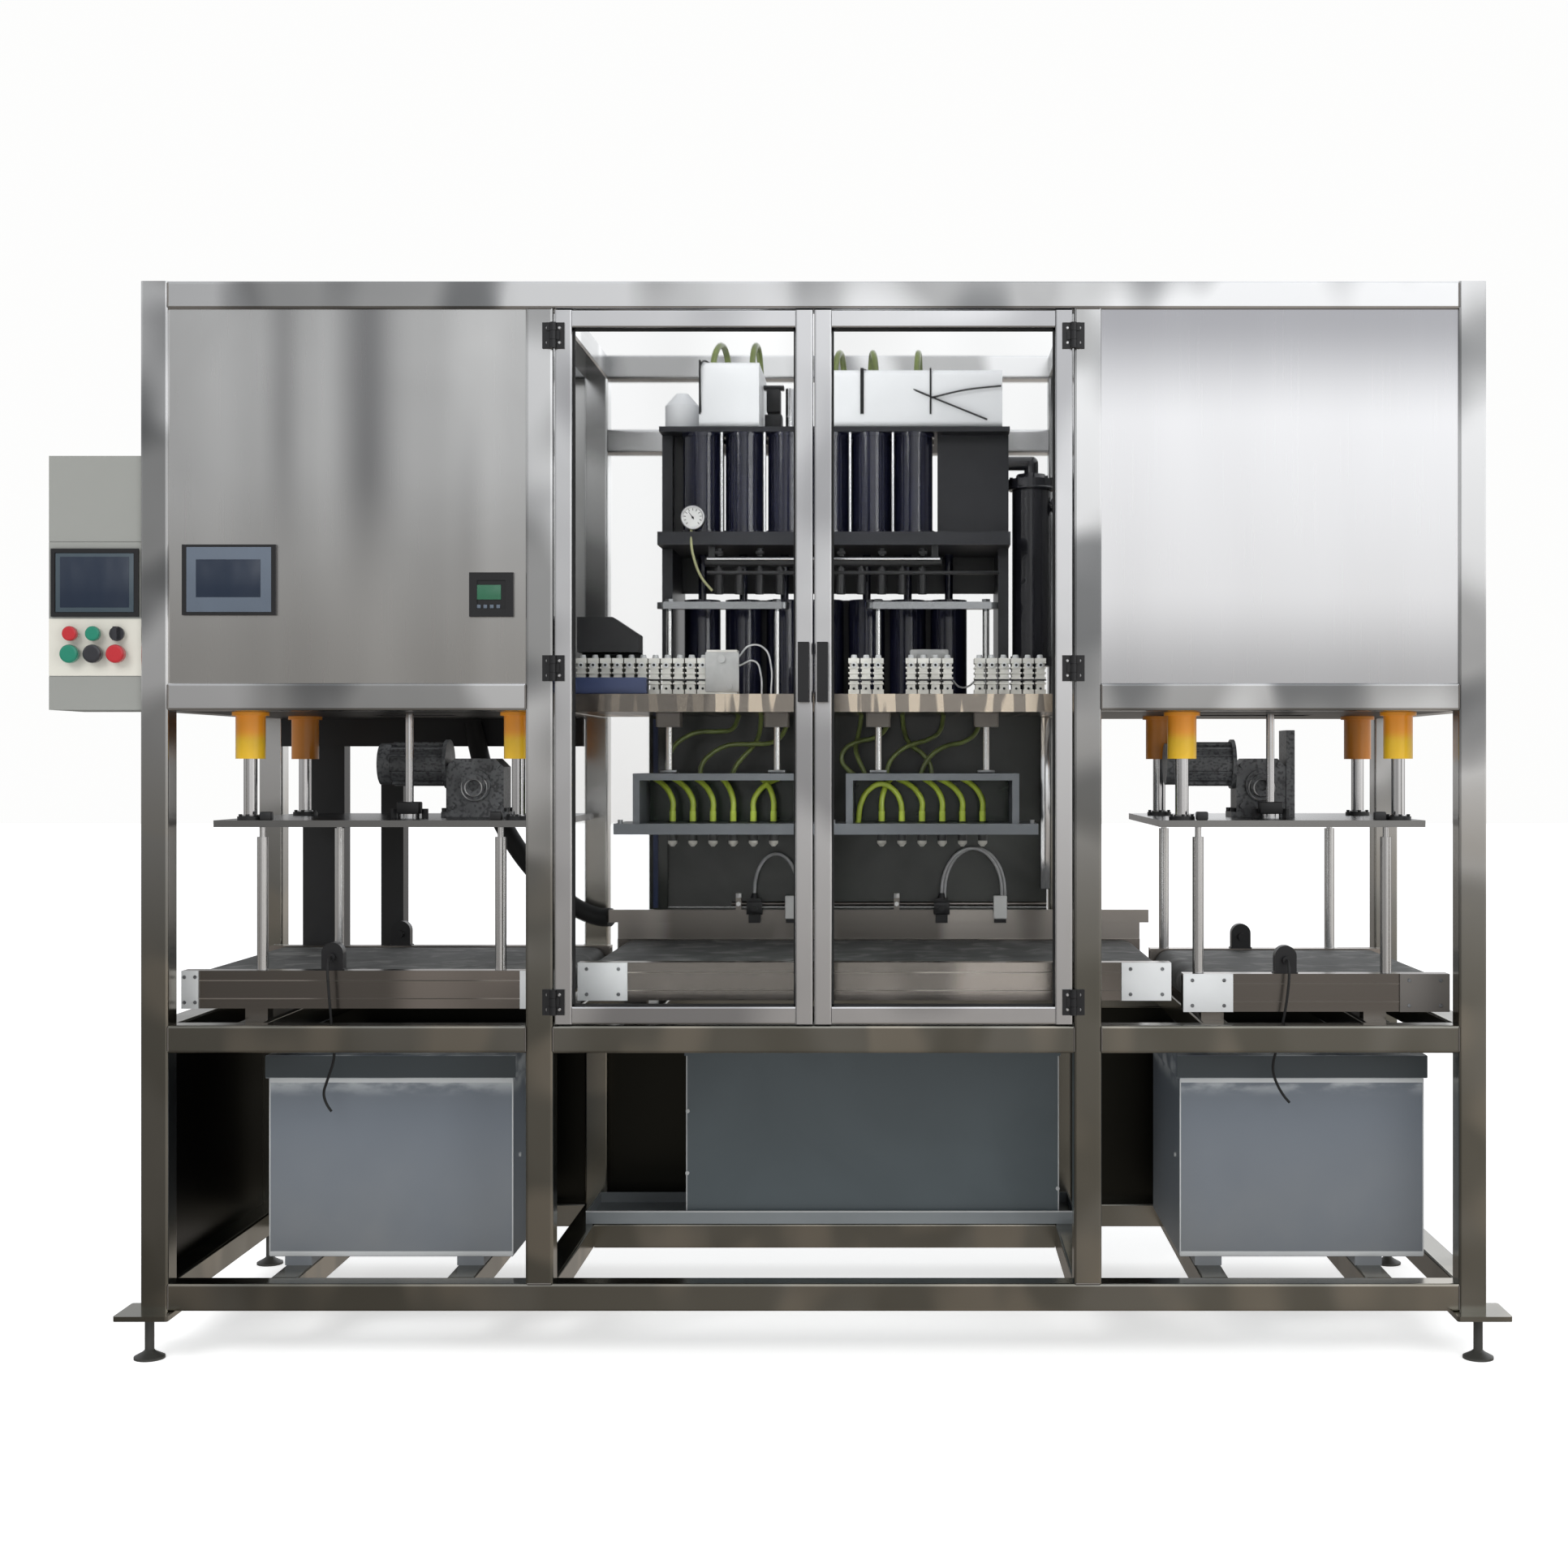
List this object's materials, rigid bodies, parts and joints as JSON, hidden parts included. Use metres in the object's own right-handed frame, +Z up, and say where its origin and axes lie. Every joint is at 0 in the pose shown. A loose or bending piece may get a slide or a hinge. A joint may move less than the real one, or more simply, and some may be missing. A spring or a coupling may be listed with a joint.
{
  "type": "battery acid filling machine",
  "caption": "Stainless frame machine with belts that carry batteries through a guided press, an acid filling station behind two glazed doors and a second press, with tanks below.",
  "frame": {"origin": "on the floor under the middle of the whole machine's box", "axes": "+X along the conveyors to the outfeed end, +Y from the door side to the rear, +Z up"},
  "size_m": [3.166, 0.988, 2.34],
  "materials": {
    "frame_steel": "brushed",
    "foot_black": "satin",
    "sheet_steel": "satin",
    "hinge_black": "satin",
    "cabinet_paint": "satin",
    "screen_black": "gloss",
    "plate_dark": "satin",
    "sleeve_yellow": "gloss",
    "cylinder_alu": "satin",
    "beam_alu": "satin",
    "end_white": "satin",
    "belt_dark": "matte",
    "sensor_black": "satin",
    "tank_grey": "satin",
    "tank_dark": "satin",
    "table_steel": "polished",
    "bearing_grey": "satin",
    "tower_black": "satin",
    "doser_navy": "gloss",
    "header_white": "satin",
    "manifold_dark": "satin",
    "filter_black": "gloss",
    "valve_white": "satin",
    "box_black": "satin",
    "splash_black": "satin",
    "cable_black": "matte",
    "door_steel": "brushed",
    "pane_clear": "clear",
    "head_grey": "satin",
    "rod_chrome": "polished",
    "nozzle_white": "satin",
    "hose_green": "gloss",
    "press_steel": "satin",
    "motor_grey": "satin",
    "button_red": "gloss",
    "button_green": "gloss",
    "button_black": "gloss",
    "roller_steel": "polished"
  },
  "bodies": {
    "root": {"columns": "frame_steel", "long_beams": "frame_steel", "cross_beams": "frame_steel", "leveling_feet": "foot_black", "front_panels": "sheet_steel", "rear_panels": "sheet_steel", "fixed_hinge_leaves": "hinge_black", "control_cabinet": "cabinet_paint", "operator_screens": "screen_black", "press_top_plates": "plate_dark", "guide_sleeves": "sleeve_yellow", "press_cylinders": "cylinder_alu", "conveyor_beams": "beam_alu", "guide_rail": "beam_alu", "conveyor_end_plates": "end_white", "conveyor_belts": "belt_dark", "position_sensors": "sensor_black", "side_tanks": "tank_grey", "center_tank": "tank_dark", "tank_tray": "tank_dark", "work_table": "table_steel", "rod_bearings": "bearing_grey", "tower_frame": "tower_black", "dosing_cylinders": "doser_navy", "header_tank": "header_white", "dosing_manifold": "manifold_dark", "acid_filter": "filter_black", "table_valves": "valve_white", "wiring_box": "box_black", "splash_panel": "splash_black", "sensor_cables": "cable_black"},
    "left_door": {"left_door_frame": "door_steel", "left_door_pane": "pane_clear", "left_door_fittings": "hinge_black"},
    "right_door": {"right_door_frame": "door_steel", "right_door_pane": "pane_clear", "right_door_fittings": "hinge_black"},
    "left_head": {"left_head_box": "head_grey", "left_head_rods": "rod_chrome", "left_head_nozzles": "nozzle_white", "left_head_hoses": "hose_green"},
    "right_head": {"right_head_box": "head_grey", "right_head_rods": "rod_chrome", "right_head_nozzles": "nozzle_white", "right_head_hoses": "hose_green"},
    "left_press": {"left_press_plate": "press_steel", "left_press_rods": "rod_chrome", "left_gear_motor": "motor_grey"},
    "right_press": {"right_press_plate": "press_steel", "right_press_rods": "rod_chrome", "right_gear_motor": "motor_grey"},
    "red_lamp_button": {"red_lamp_button": "button_red"},
    "green_lamp_button": {"green_lamp_button": "button_green"},
    "selector_knob": {"selector_knob": "button_black"},
    "green_start_button": {"green_start_button": "button_green"},
    "black_reset_button": {"black_reset_button": "button_black"},
    "red_stop_button": {"red_stop_button": "button_red"},
    "left_drive_roller": {"left_drive_roller": "roller_steel"},
    "middle_drive_roller": {"middle_drive_roller": "roller_steel"},
    "right_drive_roller": {"right_drive_roller": "roller_steel"}
  },
  "joints": [
    {"name": "left_door_hinge", "type": "hinge", "parent": "root", "child": "left_door", "pos_m": [-0.4845, -0.458, 1.5], "axis": [0, 0, 1], "range_deg": [-110, 0]},
    {"name": "right_door_hinge", "type": "hinge", "parent": "root", "child": "right_door", "pos_m": [0.6425, -0.458, 1.5], "axis": [0, 0, 1], "range_deg": [0, 110]},
    {"name": "left_head_slide", "type": "slide", "parent": "root", "child": "left_head", "axis": [0, 0, 1], "range_m": [-0.12, 0.06], "deforming": ["left_head_hoses"]},
    {"name": "right_head_slide", "type": "slide", "parent": "root", "child": "right_head", "axis": [0, 0, 1], "range_m": [-0.12, 0.06], "deforming": ["right_head_hoses"]},
    {"name": "left_press_slide", "type": "slide", "parent": "root", "child": "left_press", "axis": [0, 0, 1], "range_m": [0, 0.1]},
    {"name": "right_press_slide", "type": "slide", "parent": "root", "child": "right_press", "axis": [0, 0, 1], "range_m": [0, 0.1]},
    {"name": "red_lamp_button_press", "type": "slide", "parent": "root", "child": "red_lamp_button", "axis": [0, 1, 0], "range_m": [0, 0.004], "stiffness_N_per_m": 500},
    {"name": "green_lamp_button_press", "type": "slide", "parent": "root", "child": "green_lamp_button", "axis": [0, 1, 0], "range_m": [0, 0.004], "stiffness_N_per_m": 500},
    {"name": "green_start_button_press", "type": "slide", "parent": "root", "child": "green_start_button", "axis": [0, 1, 0], "range_m": [0, 0.004], "stiffness_N_per_m": 500},
    {"name": "black_reset_button_press", "type": "slide", "parent": "root", "child": "black_reset_button", "axis": [0, 1, 0], "range_m": [0, 0.004], "stiffness_N_per_m": 500},
    {"name": "red_stop_button_press", "type": "slide", "parent": "root", "child": "red_stop_button", "axis": [0, 1, 0], "range_m": [0, 0.004], "stiffness_N_per_m": 500},
    {"name": "selector_knob_turn", "type": "hinge", "parent": "root", "child": "selector_knob", "pos_m": [-1.432, -0.44, 1.575], "axis": [0, 1, 0], "range_deg": [-45, 45]},
    {"name": "left_roller_spin", "type": "hinge", "parent": "root", "child": "left_drive_roller", "pos_m": [-0.511, 0, 0.7957], "axis": [0, 1, 0], "continuous": true},
    {"name": "middle_roller_spin", "type": "hinge", "parent": "root", "child": "middle_drive_roller", "pos_m": [0.822, 0, 0.8137], "axis": [0, 1, 0], "continuous": true},
    {"name": "right_roller_spin", "type": "hinge", "parent": "root", "child": "right_drive_roller", "pos_m": [1.439, 0, 0.7887], "axis": [0, 1, 0], "continuous": true}
  ]
}
